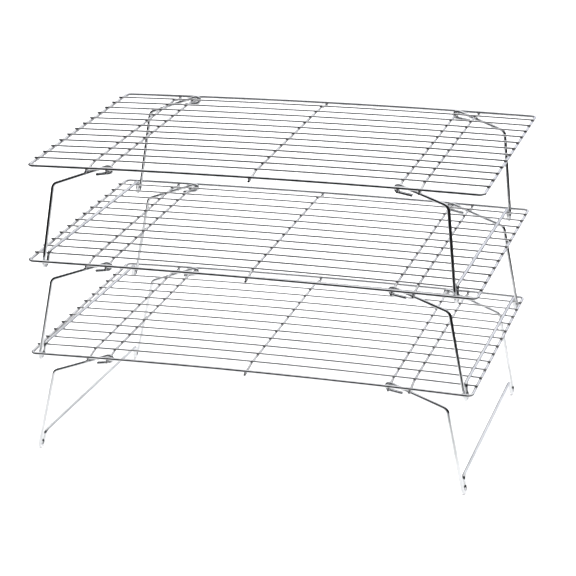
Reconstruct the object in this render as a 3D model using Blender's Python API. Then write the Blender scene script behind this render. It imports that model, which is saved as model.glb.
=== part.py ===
"""Stacking wire cooling rack: three chromed wire tiers, each on two folding wire legs.

Metres, +Z up. X runs along the length, the front is at -Y, and the origin is under the
middle of the rack on the surface it stands on. Each tier hangs from its own empty, at the
height of its frame's left end, and each leg hangs from an empty on its hinge axis. The rails and
grid wires bow upward a little along their length, and uneven legs hold the top tier's right
end a little higher than its left.
"""

import math

import bmesh
import bpy
from mathutils import Vector

# Driving dimensions
LENGTH = 0.4086  # over the ends of the grid wires
RAIL_Y = 0.1270  # centre line of the front and back rails
TIER_PITCH = 0.0886  # from one frame up to the next
GAP = 0.0003  # between wires that touch

# Wires
FRAME_RADIUS = 0.0015
GRID_RADIUS = 0.0010
CROSS_RADIUS = 0.00125
LEG_RADIUS = 0.0016
WIRE_SIDES = 8

# Grid
GRID_WIRES = 12
GRID_OVERHANG = 0.0005  # grid wire ends past the outside of the frame
FRAME_CORNER_RADIUS = 0.0045
CROSS_INNER_X = 0.1293  # the legs hinge on this pair
CROSS_OUTER_X = 0.1480  # the open legs lean on this pair
CROSS_OVERHANG = 0.0010  # cross wire ends past the outside of the rails
CROSS_STEP_START_Y = 0.1085  # where a cross wire starts down to pass under the rail
CROSS_STEP_END_Y = 0.1266
CROSS_STEP_RADIUS = 0.0045

# Legs
LEG_Y = 0.1216  # plane of the hook, arm and lower leg
HINGE_GAP = 0.00045  # between a hook and the sloping cross wire inside it
TAIL_LENGTH = 0.0125
TAIL_SLOPE = math.radians(10)
SHOULDER_RADIUS = 0.0070
FOOT_RADIUS = 0.0054
FOOT_DROP = 0.0125  # lowest centre line of a foot, below the cross bar
FOOT_FLAT = 0.00025  # depth of the flat worn under each foot of the bottom tier
BAR_BEND_RADIUS = 0.0035

# Each leg's shoulder and foot at the front, out from the middle of its tier
LEG_REACH = {
    ("bottom", "left"): (0.1831, 0.2022),
    ("bottom", "right"): (0.1802, 0.1958),
    ("middle", "left"): (0.1832, 0.1996),
    ("middle", "right"): (0.1784, 0.1936),
    ("top", "left"): (0.1818, 0.1956),
    ("top", "right"): (0.1716, 0.1791),
}

# How far the back of each leg sits to the right of its front
LEG_SKEW = {
    ("bottom", "left"): 0.0085,
    ("bottom", "right"): 0.0001,
    ("middle", "left"): 0.0053,
    ("middle", "right"): 0.0016,
    ("top", "left"): 0.0045,
    ("top", "right"): 0.0025,
}

# How far each tier was set down to the side of the rack's middle
TIER_SHIFT = {"bottom": -0.0037, "middle": -0.0013, "top": 0.0031}
TIER_BELOW = {"middle": "bottom", "top": "middle"}

# Rise of each tier's rails and grid wires at mid-length, over a straight line between their ends
BOW = {"bottom": 0.0028, "middle": 0.0019, "top": 0.0023}
BOW_STATIONS = (-0.9, -0.7, -0.4, -0.1, 0.2, 0.5, 0.75, 0.9)
TILT = {"bottom": 0.0, "middle": 0.0, "top": 0.00161}  # half of the right end's rise over the left
SIDES = {"left": -1.0, "right": 1.0}
CROSS_WIRES = {
    "left_outer": -CROSS_OUTER_X,
    "left_inner": -CROSS_INNER_X,
    "middle": 0.0,
    "right_inner": CROSS_INNER_X,
    "right_outer": CROSS_OUTER_X,
}

# Heights from the frame's centre line
GRID_Z = FRAME_RADIUS + GAP + GRID_RADIUS
CROSS_Z = GRID_Z - GRID_RADIUS - GAP - CROSS_RADIUS
CROSS_END_Z = -FRAME_RADIUS - GAP - CROSS_RADIUS
BAR_Z = GRID_Z + GRID_RADIUS + GAP + LEG_RADIUS - TIER_PITCH
FOOT_Z = BAR_Z - FOOT_DROP
FRAME_HEIGHT = LEG_RADIUS - FOOT_FLAT - FOOT_Z  # bottom frame above the surface

# Height of the cross wires' sloping ends where the hooks hold them
STEP_PART = (LEG_Y - CROSS_STEP_START_Y) / (CROSS_STEP_END_Y - CROSS_STEP_START_Y)
HINGE_Z = CROSS_Z + STEP_PART * (CROSS_END_Z - CROSS_Z)

FRAME_X = LENGTH / 2 - GRID_OVERHANG - FRAME_RADIUS
HINGE_RADIUS = CROSS_RADIUS + HINGE_GAP + LEG_RADIUS  # leg wire's centre line round its hinge

CHROME = (0.76, 0.77, 0.79, 1.0)
BEND_STEP = math.radians(24)  # largest turn between two rings of a bent wire
SAME_POINT = 1e-6


def clear_scene():
    for thing in list(bpy.data.objects):
        bpy.data.objects.remove(thing, do_unlink=True)


def chrome(name, roughness):
    material = bpy.data.materials.new(name)
    material.use_nodes = True
    shader = material.node_tree.nodes["Principled BSDF"]
    shader.inputs["Base Color"].default_value = CHROME
    shader.inputs["Metallic"].default_value = 1.0
    shader.inputs["Roughness"].default_value = roughness
    return material


def fillet(before, corner, after, radius):
    """Points of the arc that rounds a corner between two straight runs."""
    way_in = (corner - before).normalized()
    way_out = (after - corner).normalized()
    turn = way_in.angle(way_out)
    start = corner - way_in * radius * math.tan(turn / 2)
    across = (way_out - way_in * math.cos(turn)).normalized()
    steps = max(2, math.ceil(turn / BEND_STEP))
    angles = [turn * step / steps for step in range(steps + 1)]
    return [start + way_in * radius * math.sin(a) + across * radius * (1 - math.cos(a)) for a in angles]


def rounded(points, radii, closed=False):
    """A route through the points, with each corner rounded to its radius."""
    count = len(points)
    route = []
    for i, (point, radius) in enumerate(zip(points, radii)):
        if radius == 0:
            stretch = [point]
        else:
            stretch = fillet(points[i - 1], point, points[(i + 1) % count], radius)
        route += [p for p in stretch if not route or (p - route[-1]).length > SAME_POINT]
    if closed and (route[0] - route[-1]).length < SAME_POINT:
        route.pop()
    return route


def tangents(route, closed):
    """Direction of the route at each of its points."""
    count = len(route)
    runs = [(route[(i + 1) % count] - route[i]).normalized() for i in range(count)]
    found = [(runs[i - 1] + runs[i]).normalized() for i in range(count)]
    if not closed:
        found[0] = runs[0]
        found[-1] = runs[-2]
    return found


def wire_mesh(name, route, radius, side, closed=False):
    """A wire of eight flats along a route. side is a flat's direction at the first point."""
    bm = bmesh.new()
    rings = []
    last = None
    for point, along in zip(route, tangents(route, closed)):
        if last is not None:
            side = last.rotation_difference(along) @ side
        side = (side - along * side.dot(along)).normalized()
        up = along.cross(side)
        last = along
        angles = [math.tau * (k + 0.5) / WIRE_SIDES for k in range(WIRE_SIDES)]
        rings.append([bm.verts.new(point + radius * (side * math.cos(a) + up * math.sin(a))) for a in angles])
    pairs = list(zip(rings, rings[1:]))
    if closed:
        pairs.append((rings[-1], rings[0]))
    else:
        bm.faces.new(rings[0][::-1])
        bm.faces.new(rings[-1])
    for near, far in pairs:
        for k in range(WIRE_SIDES):
            n = (k + 1) % WIRE_SIDES
            bm.faces.new((near[k], near[n], far[n], far[k]))
    return finish_mesh(name, bm)


def finish_mesh(name, bm):
    bmesh.ops.recalc_face_normals(bm, faces=bm.faces)
    mesh = bpy.data.meshes.new(name)
    bm.to_mesh(mesh)
    bm.free()
    mesh.shade_smooth()
    mesh.set_sharp_from_angle(angle=math.radians(60))
    return mesh


def flatten_feet(mesh, height):
    """Cuts off what lies below the height, which leaves a small flat under each foot."""
    bm = bmesh.new()
    bm.from_mesh(mesh)
    everything = bm.verts[:] + bm.edges[:] + bm.faces[:]
    plane = {"plane_co": (0, 0, height), "plane_no": (0, 0, -1)}
    bmesh.ops.bisect_plane(bm, geom=everything, dist=SAME_POINT, clear_outer=True, **plane)
    bmesh.ops.holes_fill(bm, edges=[edge for edge in bm.edges if edge.is_boundary])
    bmesh.ops.recalc_face_normals(bm, faces=bm.faces)
    bm.to_mesh(mesh)
    bm.free()


def bow_height(tier, x):
    """Rise of a tier's rails and grid wires at x from the tier's middle."""
    return BOW[tier] * max(0, 1 - (x / FRAME_X) ** 2) + TILT[tier] * (1 + x / FRAME_X)


def bowed_run(tier, start_x, end_x, y, z):
    """Points of a bowed wire along X, between two ends."""
    inner = [math.copysign(FRAME_X, end_x) * station for station in BOW_STATIONS]
    return [Vector((x, y, z + bow_height(tier, x))) for x in [start_x] + inner + [end_x]]


def arm_slope(tier, side):
    """Slope of a leg's arm, which lies over its hinge wire and under the outer cross wire."""
    reach = CROSS_OUTER_X - CROSS_INNER_X
    drop = bow_height(tier, side * CROSS_INNER_X) - bow_height(tier, side * CROSS_OUTER_X)
    return math.asin(2 * HINGE_RADIUS / math.hypot(reach, drop)) + math.atan2(drop, reach)


def add_empty(name, location, parent=None):
    empty = bpy.data.objects.new(name, None)
    empty.empty_display_size = 0.02
    empty.location = location
    empty.parent = parent
    bpy.context.scene.collection.objects.link(empty)
    return empty


def add_wire(mesh, parent, roughness):
    wire = bpy.data.objects.new(mesh.name, mesh)
    wire.parent = parent
    wire.data.materials.append(chrome(mesh.name, roughness))
    bpy.context.scene.collection.objects.link(wire)
    return wire


def add_frame(tier, parent):
    """One wire bent to a rectangle: front rail, right end, back rail and left end."""
    points = bowed_run(tier, -FRAME_X, FRAME_X, -RAIL_Y, 0) + bowed_run(tier, FRAME_X, -FRAME_X, RAIL_Y, 0)
    radii = ([FRAME_CORNER_RADIUS] + [0] * len(BOW_STATIONS) + [FRAME_CORNER_RADIUS]) * 2
    route = rounded(points, radii, closed=True)
    mesh = wire_mesh(f"{tier}_frame", route, FRAME_RADIUS, Vector((0, 0, 1)), closed=True)
    add_wire(mesh, parent, 0.12)


def add_grid_wires(tier, parent):
    """Thin bowed wires along X, on top of the frame's ends and of the cross wires."""
    spacing = 2 * RAIL_Y / (GRID_WIRES + 1)
    for number in range(1, GRID_WIRES + 1):
        y = RAIL_Y - number * spacing
        route = bowed_run(tier, -LENGTH / 2, LENGTH / 2, y, GRID_Z)
        mesh = wire_mesh(f"{tier}_grid_wire_{number:02d}", route, GRID_RADIUS, Vector((0, 0, 1)))
        add_wire(mesh, parent, 0.16)


def add_cross_wires(tier, parent):
    """Wires along Y under the grid wires, stepped down at both ends to pass under the rails."""
    end = RAIL_Y + FRAME_RADIUS + CROSS_OVERHANG
    half = [(end, CROSS_END_Z, 0), (CROSS_STEP_END_Y, CROSS_END_Z, CROSS_STEP_RADIUS)]
    half.append((CROSS_STEP_START_Y, CROSS_Z, CROSS_STEP_RADIUS))
    profile = [(-y, z, r) for y, z, r in half] + half[::-1]
    for place, x in CROSS_WIRES.items():
        rise = bow_height(tier, x)
        route = rounded([Vector((x, y, z + rise)) for y, z, _ in profile], [r for _, _, r in profile])
        mesh = wire_mesh(f"{tier}_cross_wire_{place}", route, CROSS_RADIUS, Vector((1, 0, 0)))
        add_wire(mesh, parent, 0.14)


def hook_route(slope):
    """Tail and hook round the hinge, out from the tail's end, as X and Z from the hinge axis."""
    start = math.radians(270) - TAIL_SLOPE
    end = math.radians(90) - slope
    steps = math.ceil((start - end) / BEND_STEP)
    angles = [start + (end - start) * step / steps for step in range(steps + 1)]
    arc = [(HINGE_RADIUS * math.cos(a), HINGE_RADIUS * math.sin(a)) for a in angles]
    tail_x = arc[0][0] + TAIL_LENGTH * math.cos(TAIL_SLOPE)
    tail_z = arc[0][1] - TAIL_LENGTH * math.sin(TAIL_SLOPE)
    return [(tail_x, tail_z)] + arc


def leg_end(slope, shoulder_x, foot_x, foot_z):
    """The front or back of a leg, from its tail to its cross bar: X, Y, Z and bend radius."""
    hook = hook_route(slope)
    arm_x, arm_z = hook[-1]
    shoulder_z = arm_z - (shoulder_x - arm_x) * math.tan(slope)
    bar_z = foot_z + FOOT_DROP
    bar_x = foot_x + (shoulder_x - foot_x) * FOOT_DROP / (shoulder_z - foot_z)
    foot_back_y = LEG_Y - 2 * FOOT_RADIUS
    points = [(x, LEG_Y, z, 0) for x, z in hook]
    points.append((shoulder_x, LEG_Y, shoulder_z, SHOULDER_RADIUS))
    points.append((foot_x, LEG_Y, foot_z, FOOT_RADIUS))
    points.append((foot_x, foot_back_y, foot_z, FOOT_RADIUS))
    points.append((bar_x, foot_back_y, bar_z, BAR_BEND_RADIUS))
    return points


def rest_height(tier, x):
    """Rise of the grid wires under a foot, at x from the middle of the foot's own tier."""
    if tier not in TIER_BELOW:
        return 0
    below = TIER_BELOW[tier]
    return bow_height(below, x + TIER_SHIFT[tier] - TIER_SHIFT[below])


def add_leg(tier, side_name, parent):
    """One bent wire: tail, hook, arm, lower leg and foot at the front and back, and a cross bar."""
    side = SIDES[side_name]
    hinge_z = HINGE_Z + bow_height(tier, side * CROSS_INNER_X)
    hinge = add_empty(f"{tier}_{side_name}_hinge", (side * CROSS_INNER_X, 0, hinge_z), parent)
    ends = []
    for skew in (0, side * LEG_SKEW[tier, side_name]):
        shoulder_x, foot_x = (reach + skew for reach in LEG_REACH[tier, side_name])
        foot_z = FOOT_Z + rest_height(tier, side * foot_x) - hinge_z
        slope = arm_slope(tier, side)
        ends.append(leg_end(slope, shoulder_x - CROSS_INNER_X, foot_x - CROSS_INNER_X, foot_z))
    front, back = ends
    whole = [(x, -y, z, r) for x, y, z, r in front] + back[::-1]
    route = rounded([Vector((side * x, y, z)) for x, y, z, _ in whole], [r for _, _, _, r in whole])
    mesh = wire_mesh(f"{tier}_{side_name}_leg", route, LEG_RADIUS, Vector((0, 1, 0)))
    if tier not in TIER_BELOW:
        flatten_feet(mesh, FOOT_Z - hinge_z - LEG_RADIUS + FOOT_FLAT)
    add_wire(mesh, hinge, 0.10)


def add_tier(tier, level):
    place = (TIER_SHIFT[tier], 0, FRAME_HEIGHT + level * TIER_PITCH)
    tier_empty = add_empty(f"{tier}_tier", place)
    add_frame(tier, tier_empty)
    add_grid_wires(tier, tier_empty)
    add_cross_wires(tier, tier_empty)
    for side_name in SIDES:
        add_leg(tier, side_name, tier_empty)


clear_scene()
for level, tier in enumerate(TIER_SHIFT):
    add_tier(tier, level)
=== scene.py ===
"""Looks of a stacking wire cooling rack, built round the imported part.

Metres, in the part's own frame: +X along the rack, the front at -Y, the floor at Z 0. Every wire
of the part is replaced by a round drawn wire on the same centre line, with plated cut ends, and
small weld fillets join the wires of each grid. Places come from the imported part's boxes.
"""

import math

import bpy
import numpy as np
from mathutils import Matrix, Vector


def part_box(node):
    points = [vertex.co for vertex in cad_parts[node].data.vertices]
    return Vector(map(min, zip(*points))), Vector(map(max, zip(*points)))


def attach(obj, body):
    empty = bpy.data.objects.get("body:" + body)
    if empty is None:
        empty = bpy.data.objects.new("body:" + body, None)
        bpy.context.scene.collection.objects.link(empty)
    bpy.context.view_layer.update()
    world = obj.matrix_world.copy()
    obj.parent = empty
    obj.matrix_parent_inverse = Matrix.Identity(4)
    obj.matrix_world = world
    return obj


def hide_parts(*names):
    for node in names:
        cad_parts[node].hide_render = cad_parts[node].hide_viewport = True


TIERS = ("bottom", "middle", "top")
TIER_BELOW = {"middle": "bottom", "top": "middle"}
SIDES = {"left": -1.0, "right": 1.0}
CROSS_PLACES = ("left_outer", "left_inner", "middle", "right_inner", "right_outer")
X_AXIS = (1, 0, 0)
Y_AXIS = (0, 1, 0)
Z_AXIS = (0, 0, 1)

# Wire radii, as in the part
FRAME_RADIUS = 0.0015
GRID_RADIUS = 0.0010
CROSS_RADIUS = 0.00125
LEG_RADIUS = 0.0016
GAP = 0.0003  # left between the part's wires, and closed here by the welds
SINK = 0.0010  # how far the grid wires are pressed down to their welds
STAND_CLEAR = 0.0002  # left between an upper leg's cross bar and the grid wires under it
PART_WIRE_SIDES = 8  # flats round each wire of the part

# Shapes of the bent wires, as in the part
FRAME_X = 0.2023
FRAME_CORNER_RADIUS = 0.0045
CROSS_INNER_X = 0.1293
CROSS_OUTER_X = 0.1480
CROSS_STEP_START_Y = 0.1085
CROSS_STEP_END_Y = 0.1266
CROSS_STEP_RADIUS = 0.0045
TIER_PITCH = 0.0886
LEG_Y = 0.1216
TAIL_LENGTH = 0.0125
TAIL_SLOPE = math.radians(10)
SHOULDER_RADIUS = 0.0070
FOOT_RADIUS = 0.0054
FOOT_DROP = 0.0125
BAR_BEND_RADIUS = 0.0035

# How far from the tier's middle each leg's front half has its shoulder and its foot
LEG_REACH = {
    ("bottom", "left"): (0.1831, 0.2022),
    ("bottom", "right"): (0.1802, 0.1958),
    ("middle", "left"): (0.1832, 0.1996),
    ("middle", "right"): (0.1784, 0.1936),
    ("top", "left"): (0.1818, 0.1956),
    ("top", "right"): (0.1716, 0.1791),
}
# How far to the right of its front half each leg's back half stands
LEG_SKEW = {
    ("bottom", "left"): 0.0085,
    ("bottom", "right"): 0.0001,
    ("middle", "left"): 0.0053,
    ("middle", "right"): 0.0016,
    ("top", "left"): 0.0045,
    ("top", "right"): 0.0025,
}
# Rise of each tier's rails and grid wires at mid-length, over a straight line between their ends
BOW = {"bottom": 0.0028, "middle": 0.0019, "top": 0.0023}
TILT = {"bottom": 0.0, "middle": 0.0, "top": 0.00161}  # half of the right end's rise over the left

# Heights from the centre line of the frame's left end, and the hook's radius round its hinge
GRID_Z = FRAME_RADIUS + GAP + GRID_RADIUS
CROSS_Z = GRID_Z - GRID_RADIUS - GAP - CROSS_RADIUS
CROSS_END_Z = -FRAME_RADIUS - GAP - CROSS_RADIUS
BAR_Z = GRID_Z + GRID_RADIUS + GAP + LEG_RADIUS - TIER_PITCH
STEP_PART = (LEG_Y - CROSS_STEP_START_Y) / (CROSS_STEP_END_Y - CROSS_STEP_START_Y)
HINGE_Z = CROSS_Z + STEP_PART * (CROSS_END_Z - CROSS_Z)
HINGE_RADIUS = CROSS_RADIUS + GAP + LEG_RADIUS
FRAME_WIRE_LOW = FRAME_RADIUS * math.cos(math.pi / PART_WIRE_SIDES)  # down to the lowest flat

# How finely the routes are cut up
BEND_STEP = math.radians(7)
HOOK_STEP = math.radians(9)
STRAIGHT_STEP = 0.012
BOW_STEP = 0.016
LEAST_STEP = 0.0003
SAME_POINT = 1e-6
LEAST_LENGTH = 1e-12  # so that a run of no length divides by something
WELD_OFF_LINE = 0.006  # a mark further than this from a straight run isn't on it
WELD_ALONG = 0.004
WELD_STOPS = (-WELD_ALONG, -0.0024, -0.0012, 0.0, 0.0012, 0.0024, WELD_ALONG)

# Cut wire ends, as shares of the wire's radius
RIM = 0.32
RIM_ANGLES = (0, 25, 50, 75, 90)
CENTRE_RISE = 0.02
CENTRE_RADIUS = 0.35

# How far the looks of a weld (its darkening, partly weld tint and partly painted shade where wires cross)
# and of a rubbed place reach along a wire
WELD_REACH = 0.0020
RUB_REACH = 0.004
# The weld fillets are darkened all over: weld tint, and painted shade between the crossing wires
WELD_FILLET_TINT_AND_SHADE = 0.8

# Each wire's surface pattern starts this much further along than the one before
PATTERN_STEP = 0.731
FILLET_PATTERN_STEP = 3.1  # for each letter of the tier's name

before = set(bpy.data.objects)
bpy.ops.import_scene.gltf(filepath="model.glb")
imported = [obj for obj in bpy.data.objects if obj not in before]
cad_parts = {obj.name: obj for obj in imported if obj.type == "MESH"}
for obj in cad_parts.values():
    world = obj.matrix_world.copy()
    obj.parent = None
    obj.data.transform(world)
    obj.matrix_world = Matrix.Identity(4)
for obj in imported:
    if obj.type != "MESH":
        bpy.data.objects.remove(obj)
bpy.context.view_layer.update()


# ---------------------------------------------------------------- wires


def fillet(before, corner, after, radius):
    """Points round an arc that is tangent to both straight runs."""
    way_in = (corner - before).normalized()
    way_out = (after - corner).normalized()
    turn = way_in.angle(way_out)
    start = corner - way_in * radius * math.tan(turn / 2)
    across = (way_out - way_in * math.cos(turn)).normalized()
    steps = max(3, math.ceil(turn / BEND_STEP))
    angles = [turn * step / steps for step in range(steps + 1)]
    return [start + way_in * radius * math.sin(a) + across * radius * (1 - math.cos(a)) for a in angles]


def rounded(points, radii, closed=False):
    """A route through the points, with each corner rounded to its radius."""
    count = len(points)
    route = []
    for i, (point, radius) in enumerate(zip(points, radii)):
        if radius == 0:
            stretch = [point]
        else:
            stretch = fillet(points[i - 1], point, points[(i + 1) % count], radius)
        route += [p for p in stretch if not route or (p - route[-1]).length > SAME_POINT]
    if closed and (route[0] - route[-1]).length < SAME_POINT:
        route.pop()
    return route


def stops_along(a, b, marks):
    """Points along a straight run, from a on: spread evenly, and close together at each mark."""
    run = b - a
    length = run.length
    along = run / length
    steps = max(1, math.ceil(length / STRAIGHT_STEP))
    stops = {length * k / steps for k in range(steps)}
    for mark in marks:
        at = (mark - a).dot(along)
        off = ((mark - a) - along * at).length
        if off < WELD_OFF_LINE and -WELD_ALONG < at < length + WELD_ALONG:
            stops |= {at + d for d in WELD_STOPS}
    kept = []
    for s in sorted(stops):
        if 0.0 <= s < length - LEAST_STEP and (not kept or s - kept[-1] > LEAST_STEP):
            kept.append(s)
    return [a + along * s for s in kept]


def refined(route, closed, marks):
    """The route with points added along its straight runs."""
    count = len(route)
    out = []
    for i in range(count if closed else count - 1):
        out += stops_along(route[i], route[(i + 1) % count], marks)
    if not closed:
        out.append(route[-1])
    return out


def tangents(points, closed):
    """The wire's unit direction at each of its points."""
    runs = np.roll(points, -1, axis=0) - points
    runs /= np.maximum(np.linalg.norm(runs, axis=1, keepdims=True), LEAST_LENGTH)
    if not closed:
        runs[-1] = runs[-2]
    back = np.roll(runs, 1, axis=0)
    if not closed:
        back[0] = runs[0]
    mean = runs + back
    return mean / np.linalg.norm(mean, axis=1, keepdims=True)


def end_rings(points, radius):
    """Ring centres and radii that round the first end of a wire off, from its face inward."""
    rim = RIM * radius
    first, second = points[0], points[1]
    along = (first - second) / np.linalg.norm(first - second)
    rings = []
    for angle in RIM_ANGLES:
        a = math.radians(angle)
        rings.append((first - along * rim * (1 - math.sin(a)), radius - rim * (1 - math.cos(a))))
    rings.append((first + along * CENTRE_RISE * radius, CENTRE_RADIUS * radius))
    return rings[::-1]


def with_cut_ends(points, radius):
    """Ring centres, radii and directions of a wire with two rounded ends."""
    head = end_rings(points, radius)
    tail = end_rings(points[::-1], radius)[::-1]
    centres = np.vstack([[p for p, _ in head], points[1:-1], [p for p, _ in tail]])
    radii = np.concatenate([[r for _, r in head], np.full(len(points) - 2, radius), [r for _, r in tail]])
    along = tangents(centres[len(head) - 1 : len(centres) - len(tail) + 1], False)
    first = np.repeat(along[:1], len(head) - 1, 0)
    last = np.repeat(along[-1:], len(tail) - 1, 0)
    return centres, radii, np.vstack([first, along, last])


def tube_faces(count, sides, closed):
    faces = []
    for i in range(count if closed else count - 1):
        n = (i + 1) % count
        for k in range(sides):
            m = (k + 1) % sides
            faces.append((i * sides + k, i * sides + m, n * sides + m, n * sides + k))
    if not closed:
        faces.append(tuple(range(sides))[::-1])
        faces.append(tuple((count - 1) * sides + k for k in range(sides)))
    return faces


def sweep(route, radius, sides, side, closed):
    """Vertices, faces, each vertex's place on the unrolled wire, and its ring's centre."""
    points = np.array([tuple(p) for p in route], float)
    if closed:
        radii, along = np.full(len(points), radius), tangents(points, True)
    else:
        points, radii, along = with_cut_ends(points, radius)
    normal = np.array(side, float)
    rings = []
    turns = np.arange(sides) * (math.tau / sides)
    for t, p, r in zip(along, points, radii):
        normal = normal - t * normal.dot(t)
        normal /= np.linalg.norm(normal)
        across = np.cross(t, normal)
        rings.append(p + r * (np.outer(np.cos(turns), normal) + np.outer(np.sin(turns), across)))
    steps = np.linalg.norm(np.diff(points, axis=0), axis=1)
    distance = np.repeat(np.concatenate([[0.0], np.cumsum(steps)]), sides)
    ring_angle = np.tile(turns, len(points))
    ring_radius = np.repeat(radii, sides)
    place = np.stack([ring_radius * np.cos(ring_angle), ring_radius * np.sin(ring_angle), distance], axis=1)
    faces = tube_faces(len(points), sides, closed)
    return np.vstack(rings), faces, place, np.repeat(points, sides, axis=0)


def near(centres, marks, reach):
    """1 at a mark, falling smoothly to 0 over the reach."""
    if not len(marks):
        return np.zeros(len(centres))
    marks = np.array([tuple(m) for m in marks], float)
    gap = np.linalg.norm(centres[:, None, :] - marks[None, :, :], axis=2).min(axis=1)
    return np.exp(-((gap / reach) ** 2))


def make_object(name, verts, faces, material, place, weld, rub):
    mesh = bpy.data.meshes.new(name)
    mesh.from_pydata([tuple(v) for v in verts], [], faces)
    mesh.shade_smooth()
    place_data = mesh.attributes.new("wire_place", "FLOAT_VECTOR", "POINT").data
    place_data.foreach_set("vector", np.asarray(place, np.float32).ravel())
    for key, values in (("weld", weld), ("rub", rub)):
        data = mesh.attributes.new(key, "FLOAT", "POINT").data
        data.foreach_set("value", np.asarray(values, np.float32))
    mesh.materials.append(material)
    piece = bpy.data.objects.new(name, mesh)
    bpy.context.scene.collection.objects.link(piece)
    return piece


class Wires:
    """Counts wires, so that each one's surface pattern starts somewhere else."""

    count = 0


def add_wire(node, body, kind, route, side, closed=False, welds=(), rubs=(), floor=None):
    """A round wire of one kind that takes a node's place. Nothing of it lies below the floor."""
    radius, sides = WIRE_SHAPES[kind]
    verts, faces, place, centres = sweep(refined(route, closed, welds), radius, sides, side, closed)
    if floor is not None:
        verts[:, 2] = np.maximum(verts[:, 2], floor)
    Wires.count += 1
    place = place + np.array([0.0, 0.0, PATTERN_STEP * Wires.count])
    # Darkening at the welds along the wire: weld tint, and painted shade where the wires cross
    weld = near(centres, welds, WELD_REACH)
    rub = near(centres, rubs, RUB_REACH)
    piece = make_object(f"{node}_plated", verts, faces, MATERIALS[kind], place, weld, rub)
    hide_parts(node)
    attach(piece, body)


# ---------------------------------------------------------------- materials

# Noise scales across, across and along the unrolled wire, then detail and roughness
DRAWING_LINES = ((3800, 3800, 26), 3, 0.62)
CLOUDS = ((420, 420, 60), 3, 0.55)
SPECKS = ((2600, 2600, 2600), 2, 0.5)
TINT_RANGE = (0.32, 0.68)  # of the clouds, from the dark tint to the light one
# The grey the wires are darkened toward at their welds: partly weld tint, partly painted shade where the
# wires cross
WELD_TINT_AND_SHADE_COLOUR = (0.42, 0.415, 0.41)
WELD_TINT_AND_SHADE_SHARE = 0.55

# What each thing adds to the roughness where it is strongest
GRAIN_ROUGH = 0.10
HAZE_ROUGH = 0.10
RUB_ROUGH = 0.18
WELD_ROUGH = 0.14

SPECK_HEIGHT = 0.35  # over the drawing lines' height
BUMP_STRENGTH = 0.35
BUMP_DEPTH = 0.00003


def chrome(name, dark, light, rough):
    """Bright chrome plate over drawn wire: fine lines along the wire, and darker, rougher spots at the
    welds, partly weld tint and partly painted shade where the wires cross.
    """
    material = bpy.data.materials.new(name)
    material.use_nodes = True
    tree = material.node_tree
    shader = tree.nodes["Principled BSDF"]
    shader.inputs["Metallic"].default_value = 1.0
    new = tree.nodes.new
    link = tree.links.new

    def attribute(key, output):
        node = new("ShaderNodeAttribute")
        node.attribute_name = key
        return node.outputs[output]

    place = attribute("wire_place", "Vector")
    weld = attribute("weld", "Fac")
    rub = attribute("rub", "Fac")

    def noise(scale, detail, roughness):
        mapping = new("ShaderNodeMapping")
        mapping.inputs["Scale"].default_value = scale
        link(place, mapping.inputs["Vector"])
        texture = new("ShaderNodeTexNoise")
        texture.inputs["Scale"].default_value = 1.0
        texture.inputs["Detail"].default_value = detail
        texture.inputs["Roughness"].default_value = roughness
        link(mapping.outputs["Vector"], texture.inputs["Vector"])
        return texture.outputs["Fac"]

    def math_node(operation, a, b):
        node = new("ShaderNodeMath")
        node.operation = operation
        for socket, value in zip(node.inputs, (a, b)):
            if isinstance(value, (int, float)):
                socket.default_value = value
            else:
                link(value, socket)
        return node.outputs["Value"]

    lines = noise(*DRAWING_LINES)
    clouds = noise(*CLOUDS)
    specks = noise(*SPECKS)

    tint = new("ShaderNodeValToRGB")
    for element, at, colour in zip(tint.color_ramp.elements, TINT_RANGE, (dark, light)):
        element.position = at
        element.color = (*colour, 1)
    link(clouds, tint.inputs["Fac"])
    # Darker at the welds: partly weld tint, partly painted shade where the wires cross
    weld_tint_and_shade = math_node("MULTIPLY", weld, math_node("MULTIPLY", clouds, WELD_TINT_AND_SHADE_SHARE))
    tinted_and_shaded = new("ShaderNodeMix")
    tinted_and_shaded.data_type = "RGBA"
    link(weld_tint_and_shade, tinted_and_shaded.inputs["Factor"])
    link(tint.outputs["Color"], tinted_and_shaded.inputs["A"])
    tinted_and_shaded.inputs["B"].default_value = (*WELD_TINT_AND_SHADE_COLOUR, 1)
    link(tinted_and_shaded.outputs["Result"], shader.inputs["Base Color"])

    # Grain and haze are centred on the wire's own roughness
    total = rough - (GRAIN_ROUGH + HAZE_ROUGH) / 2
    for part, share in ((lines, GRAIN_ROUGH), (clouds, HAZE_ROUGH), (rub, RUB_ROUGH), (weld_tint_and_shade, WELD_ROUGH)):
        total = math_node("ADD", total, math_node("MULTIPLY", part, share))
    link(total, shader.inputs["Roughness"])

    bump = new("ShaderNodeBump")
    bump.inputs["Strength"].default_value = BUMP_STRENGTH
    bump.inputs["Distance"].default_value = BUMP_DEPTH
    link(math_node("ADD", lines, math_node("MULTIPLY", specks, SPECK_HEIGHT)), bump.inputs["Height"])
    link(bump.outputs["Normal"], shader.inputs["Normal"])
    return material


MATERIALS = {
    "frame_wire": chrome("frame_chrome", (0.56, 0.565, 0.575), (0.70, 0.705, 0.715), 0.13),
    "grid_wire": chrome("grid_chrome", (0.52, 0.52, 0.525), (0.66, 0.66, 0.665), 0.17),
    "cross_wire": chrome("cross_chrome", (0.52, 0.525, 0.53), (0.66, 0.665, 0.67), 0.15),
    "leg_wire": chrome("leg_chrome", (0.56, 0.57, 0.58), (0.70, 0.71, 0.72), 0.12),
}

# Radius, and sides round the tube
WIRE_SHAPES = {
    "frame_wire": (FRAME_RADIUS, 16),
    "grid_wire": (GRID_RADIUS, 12),
    "cross_wire": (CROSS_RADIUS, 14),
    "leg_wire": (LEG_RADIUS, 20),
}


# ---------------------------------------------------------------- the grids


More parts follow.
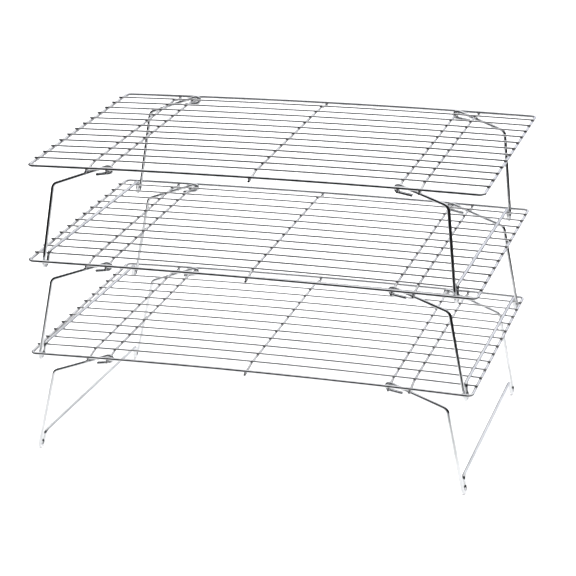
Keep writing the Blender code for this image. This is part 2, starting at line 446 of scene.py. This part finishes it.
def bow_height(tier, x):
    """Rise of a tier's rails and grid wires at x from its middle, over its frame's left end."""
    return BOW[tier] * max(0.0, 1 - (x / FRAME_X) ** 2) + TILT[tier] * (1 + x / FRAME_X)


def bowed_run(tier, middle_x, start_x, end_x, y, z):
    """Points of a bowed wire along X. start_x and end_x are measured from the tier's middle."""
    steps = math.ceil(abs(end_x - start_x) / BOW_STEP)
    places = [start_x + (end_x - start_x) * k / steps for k in range(steps + 1)]
    return [Vector((middle_x + x, y, z + bow_height(tier, x))) for x in places]


def centre(node):
    low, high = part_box(node)
    return (low + high) / 2


def tier_origin(tier):
    """The tier's middle, level with the wire at its frame's left end."""
    origin = centre(f"{tier}_frame")
    origin.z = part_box(f"{tier}_frame")[0].z + FRAME_WIRE_LOW
    return origin


# Each ring of a weld fillet: its level, in diameters of the wire it is in, and how far it
# reaches along the lower wire and along the upper one, in radii of the thinner wire
FILLET_RINGS = (
    (-0.55, 1.15, 0.45),
    (-0.22, 1.02, 0.80),
    (0.0, 0.92, 0.92),
    (0.22, 0.80, 1.02),
    (0.55, 0.45, 1.15),
)
FILLET_SIDES = 12


def add_fillet(fillets, at, below, above, gap):
    """A weld fillet between two crossing wires. below and above are (axis, radius)."""
    (low_axis, low_radius), (high_axis, high_radius) = below, above
    reach = min(low_radius, high_radius)
    verts = []
    for level, along_low, along_high in FILLET_RINGS:
        rise = level * (low_radius if level < 0 else high_radius) * 2 + gap / 2 * np.sign(level)
        for k in range(FILLET_SIDES):
            a = math.tau * k / FILLET_SIDES
            offset = np.array(low_axis, float) * math.cos(a) * (along_low * reach)
            offset = offset + np.array(high_axis, float) * math.sin(a) * (along_high * reach)
            verts.append(np.array(at) + offset + np.array([0, 0, rise]))
    base = sum(len(v) for v, _ in fillets)
    faces = [tuple(base + v for v in face) for face in tube_faces(len(FILLET_RINGS), FILLET_SIDES, False)]
    fillets.append((verts, faces))


def add_grid_wires(tier, origin, rows, columns, fillets):
    """The thin wires along X. Returns their crossings with the frame's ends."""
    grid_z = origin.z + GRID_Z - SINK
    frame_weld_z = (origin.z + FRAME_RADIUS - grid_z - GRID_RADIUS) / 2
    cross_weld_z = (origin.z + CROSS_Z + CROSS_RADIUS + grid_z - GRID_RADIUS) / 2
    end_xs = [origin.x + s * FRAME_X for s in SIDES.values()]
    frame_marks = []
    for node, y in rows.items():
        low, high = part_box(node)
        crossings = [Vector((x, y, grid_z + bow_height(tier, x - origin.x))) for x in columns.values()]
        ends = [Vector((x, y, grid_z + bow_height(tier, x - origin.x))) for x in end_xs]
        frame_marks += [Vector((p.x, p.y, p.z - grid_z + origin.z)) for p in ends]
        route = bowed_run(tier, origin.x, low.x - origin.x, high.x - origin.x, y, grid_z)
        add_wire(node, f"{tier}_grid", "grid_wire", route, Z_AXIS, welds=crossings + ends)
        for p in ends:
            at = (p.x, p.y, frame_weld_z + p.z)
            add_fillet(fillets, at, (Y_AXIS, FRAME_RADIUS), (X_AXIS, GRID_RADIUS), 0.0)
        for p in crossings:
            at = (p.x, p.y, cross_weld_z + bow_height(tier, p.x - origin.x))
            add_fillet(fillets, at, (Y_AXIS, CROSS_RADIUS), (X_AXIS, GRID_RADIUS), 0.0)
    return frame_marks


def add_cross_wires(tier, origin, rows, columns, rail_y, fillets):
    """The wires from front to back. Returns their crossings with the rails."""
    cross_z = origin.z + CROSS_Z
    end_z = origin.z + CROSS_END_Z
    weld_z = (end_z + CROSS_RADIUS + origin.z - FRAME_RADIUS) / 2
    frame_marks = []
    for node, x in columns.items():
        low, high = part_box(node)
        rise = bow_height(tier, x - origin.x)
        half = [((high.y - low.y) / 2, end_z, 0)]
        half.append((CROSS_STEP_END_Y, end_z, CROSS_STEP_RADIUS))
        half.append((CROSS_STEP_START_Y, cross_z, CROSS_STEP_RADIUS))
        profile = [(-y, z, r) for y, z, r in half] + half[::-1]
        route = rounded([Vector((x, y, z + rise)) for y, z, _ in profile], [r for _, _, r in profile])
        marks = [Vector((x, y, cross_z + rise)) for y in rows.values()]
        rails = [Vector((x, s * rail_y, end_z + rise)) for s in SIDES.values()]
        frame_marks += [Vector((p.x, p.y, origin.z + rise)) for p in rails]
        add_wire(node, f"{tier}_grid", "cross_wire", route, X_AXIS, welds=marks + rails)
        for p in rails:
            at = (p.x, p.y, weld_z + rise)
            add_fillet(fillets, at, (Y_AXIS, CROSS_RADIUS), (X_AXIS, FRAME_RADIUS), GAP)
    return frame_marks


def add_frame(tier, origin, rail_y, welds):
    """The thick wire round the grid."""
    front = bowed_run(tier, origin.x, -FRAME_X, FRAME_X, -rail_y, origin.z)
    back = bowed_run(tier, origin.x, FRAME_X, -FRAME_X, rail_y, origin.z)
    radii = [FRAME_CORNER_RADIUS] + [0] * (len(front) - 2) + [FRAME_CORNER_RADIUS]
    route = rounded(front + back, radii * 2, closed=True)
    add_wire(f"{tier}_frame", f"{tier}_grid", "frame_wire", route, Z_AXIS, closed=True, welds=welds)


def add_fillets(tier, fillets):
    """One piece with all the weld fillets of a tier."""
    verts = np.array([v for part, _ in fillets for v in part])
    faces = [f for _, part in fillets for f in part]
    place = verts + np.array([0.0, 0.0, FILLET_PATTERN_STEP * len(tier)])
    # Darkened all over: weld tint, and painted shade between the crossing wires
    weld_tint_and_shade = np.full(len(verts), WELD_FILLET_TINT_AND_SHADE)
    rub = np.zeros(len(verts))
    piece = make_object(f"{tier}_welds", verts, faces, MATERIALS["cross_wire"], place, weld_tint_and_shade, rub)
    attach(piece, f"{tier}_grid")


def add_grid(tier):
    origin = tier_origin(tier)
    low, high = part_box(f"{tier}_frame")
    rail_y = (high.y - low.y) / 2 - FRAME_WIRE_LOW
    row_nodes = sorted(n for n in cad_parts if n.startswith(f"{tier}_grid_wire_"))
    rows = {n: centre(n).y for n in row_nodes}
    columns = {n: centre(n).x for n in (f"{tier}_cross_wire_{p}" for p in CROSS_PLACES)}
    fillets = []
    welds = add_grid_wires(tier, origin, rows, columns, fillets)
    welds += add_cross_wires(tier, origin, rows, columns, rail_y, fillets)
    add_frame(tier, origin, rail_y, welds)
    add_fillets(tier, fillets)


# ---------------------------------------------------------------- the legs


def arm_slope(tier, side):
    """Fall of an open leg's arm, which lies on the hook's top and under the outer cross wire."""
    reach = CROSS_OUTER_X - CROSS_INNER_X
    drop = bow_height(tier, side * CROSS_INNER_X) - bow_height(tier, side * CROSS_OUTER_X)
    return math.asin(2 * HINGE_RADIUS / math.hypot(reach, drop)) + math.atan2(drop, reach)


def hook_route(slope):
    """X and Z of the tail and of the hook over the hinge, as far as the arm's start."""
    start = math.radians(270) - TAIL_SLOPE
    end = math.radians(90) - slope
    steps = math.ceil((start - end) / HOOK_STEP)
    angles = [start + (end - start) * step / steps for step in range(steps + 1)]
    arc = [(HINGE_RADIUS * math.cos(a), HINGE_RADIUS * math.sin(a)) for a in angles]
    tail_x = arc[0][0] + TAIL_LENGTH * math.cos(TAIL_SLOPE)
    tail_z = arc[0][1] - TAIL_LENGTH * math.sin(TAIL_SLOPE)
    return [(tail_x, tail_z)] + arc


def leg_end(slope, shoulder_x, foot_x, foot_z):
    """Corners of half a leg, drawn at the back, from its tail to its cross bar: X, Y, Z and radius."""
    hook = hook_route(slope)
    arm_x, arm_z = hook[-1]
    shoulder_z = arm_z - (shoulder_x - arm_x) * math.tan(slope)
    bar_z = foot_z + FOOT_DROP
    bar_x = foot_x + (shoulder_x - foot_x) * FOOT_DROP / (shoulder_z - foot_z)
    back_y = LEG_Y - 2 * FOOT_RADIUS
    points = [(x, LEG_Y, z, 0) for x, z in hook]
    points.append((shoulder_x, LEG_Y, shoulder_z, SHOULDER_RADIUS))
    points.append((foot_x, LEG_Y, foot_z, FOOT_RADIUS))
    points.append((foot_x, back_y, foot_z, FOOT_RADIUS))
    points.append((bar_x, back_y, bar_z, BAR_BEND_RADIUS))
    return points


def foot_height(tier, x, hinge_z, origins):
    """Height of a foot's corner from its hinge: on the floor, or with its bar on the grid below."""
    height = BAR_Z - FOOT_DROP - hinge_z
    if tier in TIER_BELOW:
        below = TIER_BELOW[tier]
        height += bow_height(below, x + origins[tier].x - origins[below].x)
        height -= SINK + GAP - STAND_CLEAR
    return height


def add_leg(tier, side_name, origins):
    node = f"{tier}_{side_name}_leg"
    side = SIDES[side_name]
    hinge_z = HINGE_Z + bow_height(tier, side * CROSS_INNER_X)
    hinge = origins[tier] + Vector((side * CROSS_INNER_X, 0, hinge_z))
    ends = []
    for skew in (0, side * LEG_SKEW[tier, side_name]):
        shoulder_x, foot_x = (reach + skew for reach in LEG_REACH[tier, side_name])
        foot_z = foot_height(tier, side * foot_x, hinge_z, origins)
        slope = arm_slope(tier, side)
        ends.append(leg_end(slope, shoulder_x - CROSS_INNER_X, foot_x - CROSS_INNER_X, foot_z))
    front, back = ends
    whole = [(x, -y, z, r) for x, y, z, r in front] + back[::-1]
    points = [hinge + Vector((side * x, y, z)) for x, y, z, _ in whole]
    route = rounded(points, [r for _, _, _, r in whole])
    rubs = []
    for s, end in zip((-1, 1), ends):
        foot_x, _, foot_z, _ = end[-2]
        rubs.append(hinge + Vector((side * foot_x, s * (LEG_Y - FOOT_RADIUS), foot_z)))
        rubs.append(hinge + Vector((0, s * LEG_Y, 0)))
    floor = 0.0 if tier == "bottom" else None
    add_wire(node, node, "leg_wire", route, Y_AXIS, rubs=rubs, floor=floor)


# ---------------------------------------------------------------- floor and light

FLOOR_SIZE = 40.0
FLOOR_COLOUR = (0.92, 0.92, 0.92)
FLOOR_ROUGHNESS = 0.9
LAMP_SIZE = 7.0
LAMP_HEIGHT = 4.0
LAMP_POWER = 560

# What the chrome sees round it. The paper's edges are given by where they start and end to fade.
SEEN_FLOOR_SIZE = 30.0
SEEN_FLOOR_Z = -0.001
PAPER_COLOUR = (1.36, 1.36, 1.37)
PAPER_FRONT = (-0.16, -0.48)  # Y over which the paper gives way to the dark floor
PAPER_SIDE = (0.75, 1.15)  # X over which it gives way to the room, to the left and right
PAPER_SHADE = (0.42, 0.42, 0.44)  # a greyer band of the paper, behind the rack
PAPER_SHADE_START = (0.16, 0.30)
PAPER_SHADE_END = (1.20, 0.85)
DARK_FLOOR_COLOUR = (0.010, 0.010, 0.010)
ROOM_COLOUR = (0.034, 0.034, 0.035)
SIDE_ROOM_COLOUR = (0.14, 0.14, 0.145)
SIDE_ROOM_FROM = (-0.27, -0.34)  # X of a direction
BACKDROP_COLOUR = (0.98, 1.00, 1.12)
BACKDROP_FROM = (0.76, 0.86)  # Y of a direction, over which the room gives way to the backdrop
OVERHEAD_COLOUR = (1.30, 1.30, 1.32)
OVERHEAD_TILT = math.radians(20)  # the white overhead leans to the back
OVERHEAD_FROM = (0.55, 0.70)  # cosine of a direction's angle from the middle of the overhead
FLAG_COLOUR = (0.018, 0.018, 0.019)
FLAG_Y = -0.50
FLAG_HALF = 1.6
FLAG_HEIGHTS = (0.0, 0.80)


def add_plane(name, corners):
    mesh = bpy.data.meshes.new(name)
    mesh.from_pydata(corners, [], [(0, 1, 2, 3)])
    plane = bpy.data.objects.new(name, mesh)
    bpy.context.scene.collection.objects.link(plane)
    return plane


def square(size, z):
    h = size / 2
    return [(-h, -h, z), (h, -h, z), (h, h, z), (-h, h, z)]


def add_floor():
    floor = add_plane("floor", square(FLOOR_SIZE, 0.0))
    material = bpy.data.materials.new("floor_paper")
    material.use_nodes = True
    shader = material.node_tree.nodes["Principled BSDF"]
    shader.inputs["Base Color"].default_value = (*FLOOR_COLOUR, 1)
    shader.inputs["Roughness"].default_value = FLOOR_ROUGHNESS
    floor.data.materials.append(material)
    floor.visible_glossy = False


def glowing(name, colour):
    """A material that only glows. Returns it with its tree and its glow node."""
    material = bpy.data.materials.new(name)
    material.use_nodes = True
    tree = material.node_tree
    tree.nodes.clear()
    out = tree.nodes.new("ShaderNodeOutputMaterial")
    glow = tree.nodes.new("ShaderNodeEmission")
    glow.inputs["Color"].default_value = (*colour, 1)
    glow.inputs["Strength"].default_value = 1.0
    tree.links.new(glow.outputs["Emission"], out.inputs["Surface"])
    return material, tree, glow


def show_in_chrome_only(piece):
    piece.visible_camera = False
    piece.visible_diffuse = False
    piece.visible_shadow = False
    piece.visible_transmission = False
    piece.visible_volume_scatter = False


def smooth_step(tree, value, start, end):
    """0 at start, rising or falling smoothly to 1 at end."""
    ramp = tree.nodes.new("ShaderNodeMapRange")
    ramp.interpolation_type = "SMOOTHSTEP"
    ramp.inputs["From Min"].default_value = start
    ramp.inputs["From Max"].default_value = end
    tree.links.new(value, ramp.inputs["Value"])
    return ramp.outputs["Result"]


def blend(tree, factor, a, b):
    """a where the factor is 0, b where it is 1. Each is a colour or a socket."""
    mix = tree.nodes.new("ShaderNodeMix")
    mix.data_type = "RGBA"
    tree.links.new(factor, mix.inputs["Factor"])
    for socket, colour in ((mix.inputs["A"], a), (mix.inputs["B"], b)):
        if isinstance(colour, tuple):
            socket.default_value = (*colour, 1)
        else:
            tree.links.new(colour, socket)
    return mix.outputs["Result"]


def multiply(tree, a, b):
    node = tree.nodes.new("ShaderNodeMath")
    node.operation = "MULTIPLY"
    tree.links.new(a, node.inputs[0])
    tree.links.new(b, node.inputs[1])
    return node.outputs["Value"]


def split_xyz(tree, vector):
    split = tree.nodes.new("ShaderNodeSeparateXYZ")
    tree.links.new(vector, split.inputs["Vector"])
    return split.outputs["X"], split.outputs["Y"]


def add_reflected_floor():
    """What the chrome sees of the table: bright paper, and a dark room past its edges."""
    card = add_plane("floor_seen_in_chrome", square(SEEN_FLOOR_SIZE, SEEN_FLOOR_Z))
    material, tree, glow = glowing("floor_seen_in_chrome", PAPER_COLOUR)
    geometry = tree.nodes.new("ShaderNodeNewGeometry")
    x, y = split_xyz(tree, geometry.outputs["Position"])
    shade = multiply(tree, smooth_step(tree, y, *PAPER_SHADE_START), smooth_step(tree, y, *PAPER_SHADE_END))
    seen = blend(tree, shade, PAPER_COLOUR, PAPER_SHADE)
    seen = blend(tree, smooth_step(tree, y, *PAPER_FRONT), seen, DARK_FLOOR_COLOUR)
    for side in SIDES.values():
        start, end = PAPER_SIDE
        seen = blend(tree, smooth_step(tree, x, side * start, side * end), seen, ROOM_COLOUR)
    tree.links.new(seen, glow.inputs["Color"])
    card.data.materials.append(material)
    show_in_chrome_only(card)


def add_flag():
    """A dark upright card past the front of the paper, seen in the chrome only."""
    low, high = FLAG_HEIGHTS
    left, right = -FLAG_HALF, FLAG_HALF
    corners = [(left, FLAG_Y, low), (right, FLAG_Y, low), (right, FLAG_Y, high), (left, FLAG_Y, high)]
    flag = add_plane("flag", corners)
    material, _, _ = glowing("flag", FLAG_COLOUR)
    flag.data.materials.append(material)
    show_in_chrome_only(flag)


def add_world():
    """White overhead, a pale backdrop behind the rack, and a dark room round the other sides."""
    world = bpy.data.worlds.new("studio")
    world.use_nodes = True
    tree = world.node_tree
    background = tree.nodes["Background"]
    direction = tree.nodes.new("ShaderNodeTexCoord").outputs["Generated"]
    x, y = split_xyz(tree, direction)
    aim = tree.nodes.new("ShaderNodeVectorMath")
    aim.operation = "DOT_PRODUCT"
    aim.inputs[1].default_value = (0.0, math.sin(OVERHEAD_TILT), math.cos(OVERHEAD_TILT))
    tree.links.new(direction, aim.inputs[0])
    colour = blend(tree, smooth_step(tree, y, *BACKDROP_FROM), ROOM_COLOUR, BACKDROP_COLOUR)
    colour = blend(tree, smooth_step(tree, x, *SIDE_ROOM_FROM), colour, SIDE_ROOM_COLOUR)
    overhead = smooth_step(tree, aim.outputs["Value"], *OVERHEAD_FROM)
    colour = blend(tree, overhead, colour, OVERHEAD_COLOUR)
    tree.links.new(colour, background.inputs["Color"])
    background.inputs["Strength"].default_value = 1.0
    bpy.context.scene.world = world


def add_overhead_lamp():
    """A wide soft lamp, straight above. The chrome sees the world's overhead instead of it."""
    data = bpy.data.lights.new("overhead", "AREA")
    data.shape = "RECTANGLE"
    data.size = LAMP_SIZE
    data.size_y = LAMP_SIZE
    data.energy = LAMP_POWER
    lamp = bpy.data.objects.new("overhead", data)
    bpy.context.scene.collection.objects.link(lamp)
    lamp.location = (0, 0, LAMP_HEIGHT)
    lamp.visible_glossy = False


# ---------------------------------------------------------------- camera

CAMERA_PLACE = Vector((0.5125, -1.7670, 0.7968))
CAMERA_AZIMUTH = math.radians(16.188)
CAMERA_ELEVATION = math.radians(19.835)
CAMERA_ROLL = math.radians(-0.649)
CAMERA_LENS = 131.79
CAMERA_SENSOR = 36.0
CAMERA_CLIP = (0.05, 100.0)


def add_camera():
    data = bpy.data.cameras.new("camera")
    data.sensor_width = CAMERA_SENSOR
    data.lens = CAMERA_LENS
    data.clip_start, data.clip_end = CAMERA_CLIP
    camera = bpy.data.objects.new("camera", data)
    bpy.context.scene.collection.objects.link(camera)
    level = math.cos(CAMERA_ELEVATION)
    x, y = math.sin(CAMERA_AZIMUTH) * level, -math.cos(CAMERA_AZIMUTH) * level
    back = Vector((x, y, math.sin(CAMERA_ELEVATION)))
    roll = Matrix.Rotation(CAMERA_ROLL, 3, "Z").to_quaternion()
    camera.location = CAMERA_PLACE
    camera.rotation_mode = "QUATERNION"
    camera.rotation_quaternion = (-back).to_track_quat("-Z", "Y") @ roll
    bpy.context.scene.camera = camera


ORIGINS = {tier: tier_origin(tier) for tier in TIERS}
for tier in TIERS:
    add_grid(tier)
    for side_name in SIDES:
        add_leg(tier, side_name, ORIGINS)

add_floor()
add_reflected_floor()
add_flag()
add_world()
add_overhead_lamp()
add_camera()
bpy.context.scene.view_settings.view_transform = "Standard"
